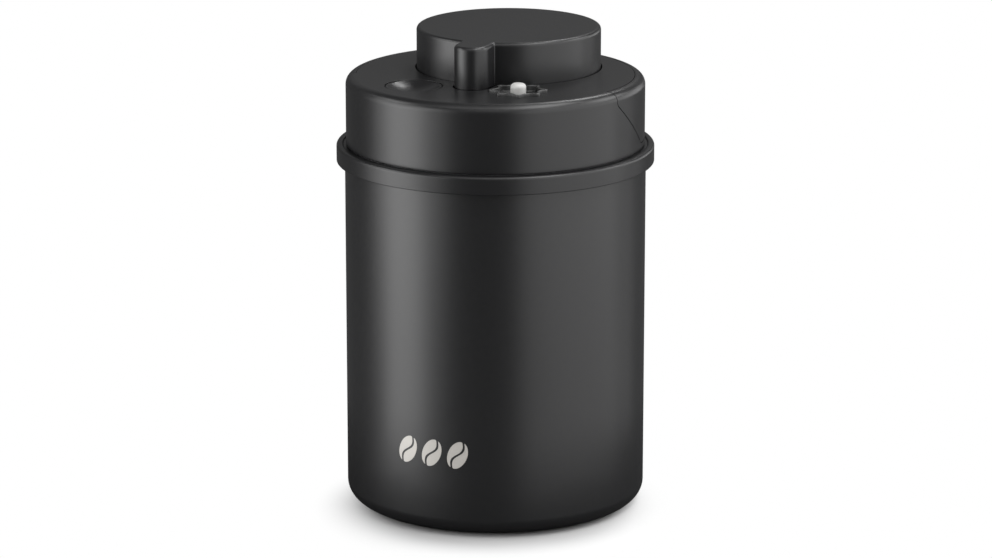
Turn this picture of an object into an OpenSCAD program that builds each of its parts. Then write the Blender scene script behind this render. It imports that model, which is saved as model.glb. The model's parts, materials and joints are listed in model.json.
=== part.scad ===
// Coffee canister with a hand pump in its lid.
// A painted steel can carries a clipped-on collar. The lid plugs into the mouth, and holds a press
// pump that draws the air out, a dished button that lets it in again, and a pin that shows the vacuum.
// Millimetres, +Z up. The origin is the middle of the base pad, where the canister stands. Front is -Y.

/* [Can] */
// Outer diameter of the steel can
can_d = 117.5; // [110:0.5:130]
// Height of the can from its foot to its rim
can_h = 141.4; // [90:0.2:240]
// Sheet thickness of the can
can_wall = 0.8; // [0.6:0.1:1.2]
// Radius where the side turns into the base
can_foot_round = 6.5; // [4:0.5:14]
// Height of the rolled bead that the collar clips over
bead_h = 0.5; // [0.3:0.05:0.8]

/* [Base pad] */
// Diameter of the non-slip pad
pad_d = 93.6; // [70:0.2:96]
// Thickness of the pad
pad_t = 1.6; // [1.2:0.1:3]
// How far the pad stands proud of the can's foot
pad_proud = 0.6; // [0.4:0.1:1]

/* [Collar] */
// How far the collar stands out from the can
collar_out = 3.25; // [2.6:0.05:9]
// Height of the collar's outer band
collar_h = 6.4; // [5:0.05:14]
// Thickness of the collar over the can's rim
collar_top_t = 1.2; // [0.8:0.1:2.5]
// Thickness of the collar's sleeve inside the can
sleeve_t = 1.7; // [1.2:0.1:2.5]
// Depth of the sleeve below the collar's top
sleeve_h = 14; // [9:0.5:20]

/* [Lid] */
// How far the lid's side stands in from the can's side
lid_step = 0.5; // [0:0.05:2]
// Height of the lid's skirt and top together
lid_h = 26.75; // [24:0.05:40]
// Wall of the lid's cover
lid_wall = 2.2; // [1.6:0.1:3]
// Radius of the lid's top edge
lid_round = 3.65; // [2.5:0.05:5]
// Height of the shadow gap between collar and lid
groove_h = 0.7; // [0.4:0.1:1.4]
// Thickness of the clip-on rear cover
rear_t = 1.6; // [1.2:0.1:2.2]
// Front edge of the rear cover, behind the lid's middle if positive
rear_y = -17; // [-26:0.5:-10]

/* [Plug] */
// Depth of the plug below the collar's top
plug_depth = 14.7; // [12:0.1:20]
// Radial gap between plug and mouth
plug_gap = 1; // [0.8:0.1:1.6]
// Wall and floor of the plug
plug_wall = 2.2; // [2:0.1:3]
// Height of the rim that stands below the plug's floor
plug_rim = 2.5; // [2.5:0.1:4]

/* [Pump knob] */
// Diameter of the knob
knob_d = 72.2; // [60:0.2:76]
// Height of the knob above the lid at rest
knob_h = 16.35; // [15:0.05:24]
// Distance of the knob's axis behind the lid's axis
knob_back = 15.3; // [12:0.1:17]
// Radius of the knob's top edge
knob_round = 1.5; // [0.6:0.05:2]
// Wall of the knob
knob_wall = 2.2; // [1.6:0.1:2.8]
// Width of the knob's front tab
tab_w = 13.8; // [11:0.2:16]
// Distance of the tab's tip in front of the lid's axis
tab_reach = 32.7; // [29:0.1:36]
// Gap round the knob
knob_gap = 0.5; // [0.3:0.05:0.8]
// Travel of the knob
pump_travel = 13; // [8:0.5:14]

/* [Pump] */
// Bore of the pump barrel
barrel_bore_d = 34; // [26:0.5:36]
// Wall of the barrel and of its cap
barrel_wall = 2; // [1.5:0.1:2.4]
// Outer diameter of the piston rod
rod_d = 20; // [17:0.5:22]
// Thickness of the piston
piston_t = 5; // [4:0.1:6]
// Wire of the pump spring
pump_wire = 1.4; // [1:0.1:1.6]
// Curls of the pump spring
pump_curls = 7; // [5:1:9]

/* [Release button] */
// Diameter of the dished button
button_d = 21.8; // [18:0.2:23]
// Depth of the dish
dish_depth = 2.6; // [1:0.1:3]
// Distance of the button from the lid's axis
button_out = 38.5; // [37:0.5:40]
// Angle of the button from the front, to the left
button_angle = 34.4; // [32:0.2:38]
// Travel of the button
button_travel = 2; // [1:0.1:2.5]

/* [Vacuum pin] */
// Diameter of the pin
pin_d = 6; // [4:0.2:7]
// Height of the pin above the lid at rest
pin_h = 3.4; // [2:0.1:5]
// Travel of the pin
pin_travel = 3; // [2:0.1:4]
// Distance of the pin from the lid's axis
pin_out = 35; // [34.5:0.5:36]
// Angle of the pin from the front, to the right
pin_angle = 34.4; // [33:0.2:38]
// Middle diameter of the lobed boot round the pin
boot_d = 19.4; // [18:0.2:20.4]
// Height of the boot's lobes
lobe_h = 1.2; // [0.4:0.1:1.4]
// Number of lobes round the boot
lobe_count = 8; // [5:1:10]
// How far the boot's lip stands above the lid
boot_proud = 1.1; // [0.3:0.1:1.6]

/* [Fits] */
// Gap of a fixed seat
seat_gap = 0.05; // [0.02:0.01:0.1]
// Radial gap of a sliding fit
slide_gap = 0.25; // [0.2:0.05:0.4]
// Radial gap of the piston seal in its bore
seal_gap = 0.05; // [0.02:0.01:0.1]
// Gap at rest between a moving piece and its stop
stop_gap = 0.3; // [0.2:0.05:0.5]

/* [Hidden] */
$fn = 96;
cut = 1;

// Can, pad and collar
can_r = can_d / 2;
can_in_r = can_r - can_wall;
rim_z = pad_proud + can_h;
pad_r = pad_d / 2;
pad_seat_r = pad_r + 0.2;
pad_groove = 0.4;
collar_top = rim_z + collar_top_t;
collar_z = collar_top - collar_h;
collar_r = can_r + collar_out;
collar_round_low = 0.5;
bead_z = collar_z + collar_h * 0.55;
mouth_r = can_in_r - seat_gap - sleeve_t;

// Lid shell
lid_r = can_r - lid_step;
skirt_z = collar_top + groove_h;
// Raised lip of the collar, round the lid's skirt
lip_h = groove_h - 0.1;
lip_in_r = lid_r + 1.05;
lip_w = collar_r - lip_in_r;
lip_round = min(1.2, lip_w / 2 - 0.1);
lid_z = skirt_z + lid_h;
lid_in_r = lid_r - lid_wall;
lid_under = lid_z - lid_wall;
flange_t = 2.2;
flange_r = lid_r - 0.85;
flange_top = collar_top + flange_t;
rear_gap = 0.3;
rear_edge_r = lid_r - lid_round - 0.3;
rear_low = skirt_z + 2.6;
rear_corner = 3;
rear_slope = 41;
liner_out_r = lid_r - rear_t - rear_gap;
liner_in_r = liner_out_r - 1.8;
clip_angles = [112, 146, 214, 248];
clip_w = 6;
clip_h = 2;
clip_z = lid_under - 7;

// Plug
plug_r = mouth_r - plug_gap;
plug_in_r = plug_r - plug_wall;
rim_low = collar_top - plug_depth;
floor_low = rim_low + plug_rim;
floor_top = floor_low + plug_wall;
gasket_groove = 1.2;
gasket_low = floor_low + 2.6;
gasket_top = collar_top - 2.2;
gasket_r = mouth_r - slide_gap;

// Screws that hold cover and chassis together
boss_angles = [0, 62, 122, 238, 298];
boss_out = plug_in_r - 4.4;
boss_r = 3.2;
screw_r = 1.4;
head_r = 2.6;
head_t = 1.4;
pilot_r = screw_r + seat_gap;
cover_screw_reach = 11;
cover_pilot_depth = 14;

// Knob, barrel and piston
knob_r = knob_d / 2;
knob_z = lid_z + knob_h;
knob_under = knob_z - knob_wall;
knob_low = lid_z - 7.5;
tab_r = tab_w / 2;
tab_y = -tab_reach + tab_r;
well_t = 1.8;
well_h = 11;
well_low = knob_low - well_h;
bore_r = barrel_bore_d / 2;
barrel_r = bore_r + barrel_wall;
seat_h = 4;
seat_post_r = 3.2;
barrel_flange_z = floor_top + seat_h;
barrel_flange_t = 2;
barrel_flange_w = 11.5;
barrel_flange_r = barrel_r + barrel_flange_w;
barrel_screw_reach = 8;
barrel_screw_out = barrel_r + barrel_screw_reach;
valve_t = 0.8;
oring_r = 0.55;
piston_low = floor_top + 3 + pump_travel;
piston_top = piston_low + piston_t;
barrel_top = piston_top + stop_gap;
cap_t = 2.5;
cap_skirt = 4.5;
cap_r = barrel_r + barrel_wall - 0.2;
rod_r = rod_d / 2;
rod_in_r = rod_r - 2;
knob_post_h = 3.6;
rod_top = knob_under - knob_post_h;
rod_flange_r = rod_r + 7;
rod_flange_t = 2.2;
knob_screw_out = rod_r + 3.4;
piston_r = bore_r - 0.3;
seal_depth = 1.7;
seal_h = 2.4;
window_w = 6;
window_h = 6;
window_z = barrel_top + cap_t + pump_travel + 1;
spring_seat = barrel_flange_z + barrel_flange_t;
pump_spring_r = cap_r + pump_wire / 2 + 0.8;

// Valves
stem_r = 1.5;
intake_r = 7.5;
intake_holes_out = 4.6;
exhaust_r = rod_in_r - 1.2;
exhaust_holes_out = 3.9;
exhaust_seat = piston_low + 2.5;
socket_r = 13;
socket_wall = 1.5;
screen_t = 0.3;
ring_t = 0.8;
screen_pitch = 2.4;
screen_hole_r = 0.75;

// Release button
button_r = button_d / 2;
button_land = 1.5;
button_place = max(button_out, past_knob(button_angle, button_r + stop_gap + button_land));
button_at = [-button_place * sin(button_angle), -button_place * cos(button_angle)];
button_top = lid_z - 0.15;
button_body = 5;
button_skirt = 3.5;
button_wall = 1.5;
button_low = button_top - button_body;
dish_rim = 1;
dish_sphere = (pow(button_r - dish_rim, 2) + pow(dish_depth, 2)) / (2 * dish_depth);
button_well_low = button_low - button_skirt - button_travel;
tower_r = 6;
tower_bore = 4;
tower_drop = 13.5;
tower_top = button_low - tower_drop;
tower_plate = 2.5;
vent_w = 3;
vent_h = 5;
vent_drop = 7;
stem_rod_r = 2.5;
stopper_r = 6.5;
stopper_t = 2.2;
stopper_top = floor_low - 0.1;
release_wire = 0.7;
release_spring_r = 4.4;

// Vacuum pin
pin_r = pin_d / 2;

pin_top = lid_z + pin_h;
pin_round = 1.3;
boot_mid_r = boot_d / 2;
boot_land = 0.25;
lobe_point = 0.25;
lobe_tip_r = boot_mid_r + lobe_h * (1 + lobe_point);
pin_place = max(pin_out, past_knob(pin_angle, lobe_tip_r + boot_land));
pin_at = [pin_place * sin(pin_angle), -pin_place * cos(pin_angle)];
boot_turn = 20;
boot_lip = 1.1;
boot_floor = lid_z - 1.2;
boot_t = 3;
boot_low = lid_z - boot_t;
boot_pad_r = 12;
boot_pad_low = lid_under - 4;
boot_neck_r = pin_r + slide_gap + 1.5;
boot_foot_t = 1.2;
cup_r = 9.5;
cup_wall = 1.5;
cup_h = 15.2;
cup_top = floor_top + cup_h;
membrane_t = 0.8;
foot_r = 5.2;
foot_t = 1.5;
foot_low = cup_top + membrane_t + 0.2;
clamp_bore = 7;
clamp_r = cup_r + seat_gap + 1.4;
clamp_t = 2.2;
clamp_skirt = 3;
indicator_wire = 0.6;
indicator_spring_r = 3.2;

// Colours
black_paint = "#2e2e30";
black_plastic = "#323234";
grey_plastic = "#4a4a4c";
silicone = "#262627";
clear_silicone = "#b9b6ae";
steel = "#b9bbbd";
white_plastic = "#d9d8d4";

// Half section of a turned piece, from the axis out to r, with rounded outer corners
module turned(r, low, high, round_low = 0, round_high = 0) {
    difference() {
        translate([0, low]) square([r, high - low]);
        if (round_low > 0)
            translate([r - round_low, low]) difference() {
                translate([0, -cut]) square([round_low + cut, round_low + cut]);
                translate([0, round_low]) circle(r = round_low);
            }
        if (round_high > 0)
            translate([r - round_high, high - round_high]) difference() {
                square([round_high + cut, round_high + cut]);
                circle(r = round_high);
            }
    }
}

// Half section of a plain ring
module band(r_in, r_out, low, high) {
    translate([r_in, low]) square([r_out - r_in, high - low]);
}

module ring(r_in, r_out, low, high) {
    rotate_extrude() band(r_in, r_out, low, high);
}

module rod(r, low, high) {
    translate([0, 0, low]) cylinder(r = r, h = high - low);
}

// Places children at an angle from the front, out from the lid's axis
module around(angles, out) {
    for (a = angles) rotate([0, 0, a]) translate([0, -out, 0]) children();
}

module at_knob() {
    translate([0, knob_back, 0]) children();
}

module at_button() {
    translate([button_at[0], button_at[1], 0]) children();
}

module at_pin() {
    translate([pin_at[0], pin_at[1], 0]) children();
}

// Outline of the knob and its tab, grown by a clearance
// How far out a round piece lies, at an angle from the front, if it just clears the knob's opening
function past_knob(angle, reach) = sqrt(pow(knob_r + knob_gap + reach, 2) - pow(knob_back * sin(angle), 2))
    - knob_back * cos(angle);

module knob_outline(grow) {
    translate([0, knob_back]) circle(r = knob_r + grow);
    translate([0, tab_y]) circle(r = tab_r + grow);
    translate([-tab_r - grow, tab_y]) square([tab_w + 2 * grow, knob_back - tab_y]);
}

// Lobed outline of the boot, with a second wave that points the lobes and flattens the valleys
function lobed(r, lobe) = [for (i = [0:127]) let (a = i * 360 / 128, wave = lobe_count * (a - boot_turn))
    (r + lobe * (cos(wave) + lobe_point * cos(2 * wave))) * [cos(a), sin(a)]];

// Side view of the rear cover's place, as Y and Z, moved out by a gap
function bend(corner, r, from, to) = [for (i = [0:8]) let (a = from + (to - from) * i / 8)
    corner + r * [cos(a), sin(a)]];

module rear_side_view(gap) {
    front = rear_y - gap;
    low = rear_low - gap;
    upper_r = rear_corner + gap;
    lower_r = rear_corner - gap;
    // the upper bend hollows the front cover, the lower one rounds the rear cover's corner
    upper = [front + upper_r, lid_z - 3.6];
    slope_end = upper + upper_r * [cos(270 - rear_slope), sin(270 - rear_slope)];
    drop = slope_end[1] - low - lower_r * (1 - cos(rear_slope));
    slope_y = slope_end[0] + drop / tan(rear_slope);
    lower = [slope_y + lower_r * sin(rear_slope), low + lower_r];
    polygon(concat([[front, lid_z + cut]], bend(upper, upper_r, 180, 270 - rear_slope),
        bend(lower, lower_r, 270 - rear_slope, 270), [[lid_r + cut, low], [lid_r + cut, lid_z + cut]]));
}

// Everything behind the seam in the lid's side
module rear_zone(gap) {
    rotate([90, 0, 90]) translate([0, 0, -lid_r - cut])
        linear_extrude(height = 2 * (lid_r + cut)) rear_side_view(gap);
}

// One round-wire spring as an unbroken tube, its end curls closer than its middle ones
function spring_z(t, curls, low, high, wire) = let (lie = wire * 1.15,
    first = lie, last = high - low - wire - lie, mid = (last - first) / (curls - 2))
    low + wire / 2 + (t < 1 ? t * lie : t > curls - 1 ? last + (t - curls + 1) * lie
    : first + (t - 1) * mid);

module spring(r, wire, curls, low, high, steps = 20, sides = 6) {
    rings = curls * steps;
    points = [for (i = [0:rings]) let (t = i / steps, a = t * 360,
        z = spring_z(t, curls, low, high, wire))
        for (s = [0:sides - 1]) let (b = s * 360 / sides + 30, out = r + wire / 2 * cos(b))
        [out * cos(a), out * sin(a), z + wire / 2 * sin(b)]];
    walls = [for (i = [0:rings - 1], s = [0:sides - 1]) let (n = (s + 1) % sides)
        for (half = [0, 1]) half == 0
        ? [i * sides + s, (i + 1) * sides + s, (i + 1) * sides + n]
        : [i * sides + s, (i + 1) * sides + n, i * sides + n]];
    start = [[for (s = [0:sides - 1]) s]];
    end = [[for (s = [sides - 1:-1:0]) rings * sides + s]];
    polyhedron(points = points, faces = concat(walls, start, end));
}

// Umbrella valve: a thin disc, a stem through the seat and a bulb that holds it
module umbrella(r, seat, under) {
    rotate_extrude() union() {
        turned(r, seat, seat + valve_t, 0, valve_t / 2);
        band(0, stem_r, under - 0.9, seat + valve_t + 0.3);
        band(0, stem_r + 0.5, under - 0.9, under - seat_gap);
    }
}

// A screw from below: head at low, shank up to high
module screw(low, high) {
    difference() {
        union() {
            rotate_extrude() turned(head_r, low - head_t, low, head_t / 2, 0);
            rod(screw_r, low, high);
        }
        for (a = [0, 90]) rotate([0, 0, a])
            translate([-1.5, -0.35, low - head_t - cut]) cube([3, 0.7, cut + 0.8]);
    }
}

module canister_body() {
    recess_top = pad_t;
    bead_r = 0.9;
    color(black_paint) rotate_extrude() difference() {
        union() {
            turned(can_r, pad_proud, rim_z, can_foot_round, 0);
            translate([can_r - bead_r + bead_h, bead_z]) circle(r = bead_r, $fn = 32);
        }
        difference() {
            turned(can_in_r, pad_proud + can_wall, rim_z + cut, can_foot_round - can_wall, 0);
            band(0, pad_seat_r + can_wall, 0, recess_top + can_wall);
        }
        band(0, pad_seat_r, 0, recess_top);
    }
}

module collar_ring() {
    bead_r = 0.9;
    lead_in = 0.6;
    color(black_plastic) rotate_extrude() difference() {
        union() {
            turned(collar_r, collar_z, collar_top, collar_round_low, 0);
            translate([lip_in_r, collar_top - 1]) square([lip_w, 1 + lip_h - lip_round]);
            translate([lip_in_r + lip_round, collar_top - 1])
                square([lip_w - 2 * lip_round, 1 + lip_h]);
            for (r = [lip_in_r + lip_round, collar_r - lip_round])
                translate([r, collar_top + lip_h - lip_round]) circle(r = lip_round);
            band(0, can_in_r - seat_gap, collar_top - sleeve_h, collar_top);
        }
        band(0, mouth_r, collar_top - sleeve_h - cut, collar_top + cut);
        band(can_in_r - seat_gap, can_r + seat_gap, collar_top - sleeve_h - cut, rim_z);
        translate([can_r - bead_r + bead_h, bead_z]) circle(r = bead_r + seat_gap, $fn = 32);
        polygon([[mouth_r - cut, collar_top + cut], [mouth_r + lead_in + cut, collar_top + cut],
            [mouth_r - cut, collar_top - lead_in - cut]]);
    }
}

module base_pad() {
    groove_w = 1.6;
    color(silicone) rotate_extrude() difference() {
        turned(pad_r, 0, pad_t, pad_groove, 0);
        for (r = [pad_r * 0.55, pad_r * 0.8]) band(r, r + groove_w, -cut, pad_groove);
    }
}

// Full outer shape of the lid, front and rear covers together
module lid_solid() {
    rotate_extrude() turned(lid_r, skirt_z, lid_z, 0.5, lid_round);
}

module lid_cover() {
    color(black_plastic) difference() {
        union() {
            difference() {
                lid_solid();
                rotate_extrude() union() {
                    turned(lid_in_r, skirt_z - cut, lid_under, 0, lid_round - lid_wall);
                    band(0, flange_r + seat_gap, skirt_z - cut, flange_top);
                }
            }
            intersection() {
                rotate_extrude() difference() {
                    turned(lid_r - rear_t, flange_top, lid_z - rear_t, 0, lid_round - rear_t);
                    turned(liner_in_r, flange_top - cut, lid_under, 0, 1);
                }
                rear_zone(3);
            }
            translate([0, 0, well_low]) linear_extrude(height = lid_under - well_low + 0.2)
                knob_outline(knob_gap + well_t);
            around(boss_angles, boss_out) rod(boss_r, floor_top + seat_gap, lid_under + 0.2);
            at_button() rod(button_r + stop_gap + 1.8, button_well_low, lid_under + 0.2);
            at_pin() rod(boot_pad_r, boot_pad_low, lid_under + 0.2);
        }
        intersection() {
            rotate_extrude() difference() {
                turned(lid_r + cut, skirt_z + cut, lid_z + cut, 0, 0);
                turned(liner_out_r, skirt_z, lid_z - rear_t - rear_gap, 0, lid_round - rear_t);
                band(0, rear_edge_r - rear_gap, skirt_z, lid_z + 2 * cut);
            }
            rear_zone(rear_gap);
        }
        around(clip_angles, (liner_in_r + liner_out_r) / 2)
            translate([-clip_w / 2 - rear_gap, -3, clip_z - rear_gap])
                cube([clip_w + 2 * rear_gap, 6, clip_h + 2 * rear_gap]);
        translate([0, 0, well_low - cut]) linear_extrude(height = lid_z - well_low + 2 * cut)
            knob_outline(knob_gap);
        at_button() rod(button_r + stop_gap, button_well_low - cut, lid_z + cut);
        at_pin() {
            translate([0, 0, boot_low]) linear_extrude(height = boot_t + cut)
                polygon(lobed(boot_mid_r + seat_gap, lobe_h));
            rod(boot_neck_r + seat_gap, boot_pad_low - cut, lid_z);
        }
        around(boss_angles, boss_out) rod(pilot_r, floor_top - cut, floor_top + cover_pilot_depth);
    }
}

module lid_rear_cover() {
    color(black_plastic) {
        intersection() {
            rotate_extrude() difference() {
                turned(lid_r, skirt_z, lid_z, 0, lid_round);
                turned(lid_r - rear_t, skirt_z - cut, lid_z - rear_t, 0, lid_round - rear_t);
                band(0, rear_edge_r, skirt_z - cut, lid_z + cut);
            }
            rear_zone(0);
        }
        around(clip_angles, 0) translate([-clip_w / 2, -lid_r + rear_t / 2, clip_z])
            cube([clip_w, rear_t / 2 + rear_gap + 2.2, clip_h]);
    }
}

module lid_chassis() {
    color(grey_plastic) difference() {
        union() {
            rotate_extrude() difference() {
                union() {
                    turned(plug_r, rim_low, flange_top, 0.8, 0);
                    turned(flange_r, collar_top, flange_top, 0.3, 0);
                }
                band(0, plug_in_r, floor_top, flange_top + cut);
                band(0, plug_in_r, rim_low - cut, floor_low);
                band(plug_r - gasket_groove, plug_r + cut, gasket_low, gasket_top);
            }
            at_knob() {
                ring(socket_r, socket_r + socket_wall, rim_low, floor_low + 0.2);
                ring(barrel_r + seat_gap, barrel_r + 1.6, floor_top - 0.2, floor_top + 2);
                around([60, 180, 300], barrel_screw_out)
                    rod(seat_post_r, floor_top - 0.2, barrel_flange_z);
            }
            at_button() rod(tower_r, floor_top - 0.2, tower_top);
            at_pin() ring(cup_r - cup_wall, cup_r, floor_top - 0.2, cup_top);
        }
        around(boss_angles, boss_out) rod(screw_r + 0.2, rim_low - cut, floor_top + cut);
        at_knob() {
            rod(stem_r + seat_gap, floor_low - cut, floor_top + cut);
            around([0:60:300], intake_holes_out) rod(1.2, floor_low - cut, floor_top + cut);
            around([60, 180, 300], barrel_screw_out) rod(pilot_r, floor_top, barrel_flange_z + cut);
        }
        at_button() {
            rod(tower_bore, rim_low - cut, tower_top - tower_plate);
            rod(stem_rod_r + slide_gap, rim_low, tower_top + cut);
            translate([-tower_r - cut, -vent_w / 2, tower_top - tower_plate - vent_drop])
                cube([2 * (tower_r + cut), vent_w, vent_h]);
        }
        at_pin() rod(1, floor_low - cut, floor_top + cut);
    }
}

module lid_gasket() {
    root_r = plug_r - gasket_groove + seat_gap;
    lips = [gasket_low + 1, (gasket_low + gasket_top) / 2 + 0.6];
    color(silicone) rotate_extrude() union() {
        band(root_r, plug_r - 0.1, gasket_low + seat_gap, gasket_top - seat_gap);
        for (z = lips)
            polygon([[root_r, z], [plug_r - 0.1, z], [gasket_r, z + 1.4], [gasket_r, z + 1.7],
                [plug_r - 0.1, z + 1.1], [root_r, z + 1.1]]);
    }
}

module cover_screws() {
    color(steel) around(boss_angles, boss_out) screw(floor_low, floor_top + cover_screw_reach);
}

module pump_barrel() {
    color(grey_plastic) at_knob() difference() {
        union() {
            rod(barrel_r, floor_top, barrel_top);
            rotate_extrude() turned(barrel_flange_r, barrel_flange_z,
                barrel_flange_z + barrel_flange_t, 0, 0.5);
        }
        rod(bore_r, floor_top - cut, barrel_top + cut);
        ring(barrel_r - 2 * oring_r, barrel_r + cut, floor_top - cut,
            floor_top + 2 * oring_r + seat_gap);
        around([60, 180, 300], barrel_screw_out) rod(screw_r + 0.2, barrel_flange_z - cut,
            barrel_flange_z + barrel_flange_t + cut);
    }
}

module barrel_seal() {
    color(silicone) at_knob() rotate_extrude()
        translate([barrel_r - oring_r + seat_gap / 2, floor_top + oring_r])
            circle(r = oring_r, $fn = 32);
}

module barrel_screws() {
    top = barrel_flange_z + barrel_flange_t;
    color(steel) at_knob() around([60, 180, 300], barrel_screw_out)
        translate([0, 0, 2 * top]) mirror([0, 0, 1]) screw(top, 2 * top - floor_top - 0.5);
}

module barrel_cap() {
    color(grey_plastic) at_knob() rotate_extrude() difference() {
        turned(cap_r, barrel_top - cap_skirt, barrel_top + cap_t, 0, 0.6);
        band(0, barrel_r + seat_gap, barrel_top - cap_skirt - cut, barrel_top);
        band(0, rod_r + 0.4, barrel_top - cut, barrel_top + cap_t + cut);
    }
}

module intake_valve() {
    color(clear_silicone) at_knob() umbrella(intake_r, floor_top, floor_low);
}

module inlet_screen() {
    low = rim_low + ring_t;
    reach = socket_r - 3.2;
    row = screen_pitch * sin(60);
    color(steel) at_knob() difference() {
        rod(socket_r - seat_gap, low, low + screen_t);
        for (j = [-4:4], i = [-4:4])
            let (x = (i + (j % 2 == 0 ? 0 : 0.5)) * screen_pitch, y = j * row)
            if (norm([x, y]) < reach)
                translate([x, y, low - cut]) cylinder(r = screen_hole_r, h = 2 * cut, $fn = 16);
    }
}

module screen_ring() {
    color(grey_plastic) at_knob() rotate_extrude() difference() {
        turned(socket_r - seat_gap, rim_low, rim_low + ring_t, 0.3, 0);
        band(0, socket_r - 2.2, rim_low - cut, rim_low + ring_t + cut);
    }
}

module pump_spring() {
    color(steel) at_knob()
        spring(pump_spring_r, pump_wire, pump_curls, spring_seat + seat_gap, knob_under - seat_gap);
}

// Knob shape from low to high, its top edge rounded all round
module knob_solid() {
    translate([0, 0, knob_low]) linear_extrude(height = knob_z - knob_round - knob_low)
        knob_outline(0);
    at_knob() rotate_extrude() turned(knob_r, knob_z - 2 * knob_round, knob_z, 0, knob_round);
    translate([0, tab_y, 0]) {
        rotate_extrude() turned(tab_r, knob_z - 2 * knob_round, knob_z, 0, knob_round);
        for (side = [0, 1]) mirror([side, 0, 0]) rotate([90, 0, 180])
            linear_extrude(height = knob_back - tab_y)
                turned(tab_r, knob_z - 2 * knob_round, knob_z, 0, knob_round);
    }
}

module pump_knob() {
    color(black_plastic) {
        difference() {
            knob_solid();
            translate([0, 0, knob_low - cut]) linear_extrude(height = knob_under - knob_low + cut)
                knob_outline(-knob_wall);
        }
        at_knob() {
            ring(pump_spring_r - pump_wire / 2 - 1.4, pump_spring_r - pump_wire / 2 - 0.3,
                knob_under - 1.8, knob_under + 0.2);
            around([0, 120, 240], knob_screw_out) difference() {
                rod(seat_post_r, rod_top + seat_gap, knob_under + 0.2);
                rod(pilot_r, rod_top - cut, knob_under - 0.2);
            }
        }
    }
}

module pump_piston() {
    seal_low = piston_low + (piston_t - seal_h) / 2;
    color(grey_plastic) at_knob() difference() {
        union() {
            rod(piston_r, piston_low, piston_top);
            rod(rod_r, piston_low, rod_top);
            rod(rod_flange_r, rod_top - rod_flange_t, rod_top);
        }
        rod(rod_in_r, exhaust_seat, rod_top + cut);
        ring(piston_r - seal_depth, piston_r + cut, seal_low, seal_low + seal_h);
        rod(stem_r + seat_gap, piston_low - cut, exhaust_seat + cut);
        around([0:60:300], exhaust_holes_out) rod(1, piston_low - cut, exhaust_seat + cut);
        around([0, 120, 240], knob_screw_out)
            rod(screw_r + 0.2, rod_top - rod_flange_t - cut, rod_top + cut);
        for (a = [60, 180, 300]) rotate([0, 0, a])
            translate([-window_w / 2, -rod_r - cut, window_z])
                cube([window_w, rod_r, min(window_h, rod_top - rod_flange_t - window_z - 1)]);
    }
}

module piston_seal() {
    seal_low = piston_low + (piston_t - seal_h) / 2;
    color(silicone) at_knob() rotate_extrude() intersection() {
        band(piston_r - seal_depth + seat_gap, bore_r - seal_gap, seal_low + seat_gap,
            seal_low + seal_h - seat_gap);
        turned(bore_r - seal_gap, seal_low + seat_gap, seal_low + seal_h - seat_gap, 0.8, 0.8);
    }
}

module exhaust_valve() {
    color(clear_silicone) at_knob() umbrella(exhaust_r, exhaust_seat, piston_low);
}

module knob_screws() {
    low = rod_top - rod_flange_t;
    color(steel) at_knob() around([0, 120, 240], knob_screw_out) screw(low, knob_under - 0.4);
}

module release_button() {
    color(black_plastic) at_button() {
        difference() {
            rotate_extrude() difference() {
                turned(button_r, button_low - button_skirt, button_top, 0, 0.5);
                band(0, button_r - button_wall, button_low - button_skirt - cut, button_low);
            }
            translate([0, 0, button_top - dish_depth + dish_sphere])
                sphere(r = dish_sphere, $fn = 192);
        }
        rod(stem_rod_r, stopper_top - stopper_t + 0.5, button_low + 0.2);
    }
}

module release_stopper() {
    color(clear_silicone) at_button() difference() {
        rotate_extrude() turned(stopper_r, stopper_top - stopper_t, stopper_top, 0.8, 0.2);
        rod(stem_rod_r + seat_gap, stopper_top - stopper_t + 0.45, stopper_top + cut);
    }
}

module release_spring() {
    color(steel) at_button()
        spring(release_spring_r, release_wire, 6, tower_top + seat_gap, button_low - seat_gap, 16);
}

module indicator_boot() {
    ridge = 0.3;
    ridge_w = 0.7;
    ridge_pitch = 1.3;
    pocket_r = boot_mid_r - boot_lip;
    color(silicone) at_pin() difference() {
        union() {
            translate([0, 0, boot_low + seat_gap])
                linear_extrude(height = boot_t + boot_proud - seat_gap)
                    polygon(lobed(boot_mid_r, lobe_h));
            rod(boot_neck_r, boot_pad_low - boot_foot_t, boot_low + cut);
            rotate_extrude() turned(boot_neck_r + 1, boot_pad_low - boot_foot_t,
                boot_pad_low - seat_gap, 0.5, 0);
        }
        difference() {
            translate([0, 0, boot_floor]) linear_extrude(height = lid_z - boot_floor + boot_proud + cut)
                polygon(lobed(pocket_r, lobe_h * 0.8));
            for (r = [pin_r + 1.2:ridge_pitch:pocket_r - lobe_h - ridge_w])
                ring(r, r + ridge_w, boot_floor - 0.1, boot_floor + ridge);
        }
        rod(pin_r + slide_gap, boot_pad_low - boot_foot_t - cut, lid_z + cut);
    }
}

module indicator_pin() {
    color(white_plastic) at_pin() rotate_extrude() union() {
        turned(pin_r, foot_low, pin_top, 0, pin_round);
        turned(foot_r, foot_low, foot_low + foot_t, 0, 0.4);
    }
}

module indicator_diaphragm() {
    hold_r = cup_r - 0.4;
    fold_r = clamp_bore - 0.2;
    low = cup_top + seat_gap;
    fold_low = low - pin_travel / 2 - 0.1;
    color(clear_silicone) at_pin() rotate_extrude() union() {
        band(fold_r - 0.4, hold_r, low, low + membrane_t - seat_gap);
        band(fold_r - 0.7, fold_r, fold_low, low + membrane_t - seat_gap);
        band(foot_r - 0.9, fold_r - 0.1, fold_low, fold_low + 0.7);
        band(foot_r - 1.4, foot_r - 0.7, fold_low, foot_low - seat_gap);
        band(0, foot_r - 0.8, foot_low - 0.8, foot_low - seat_gap);
    }
}

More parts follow.
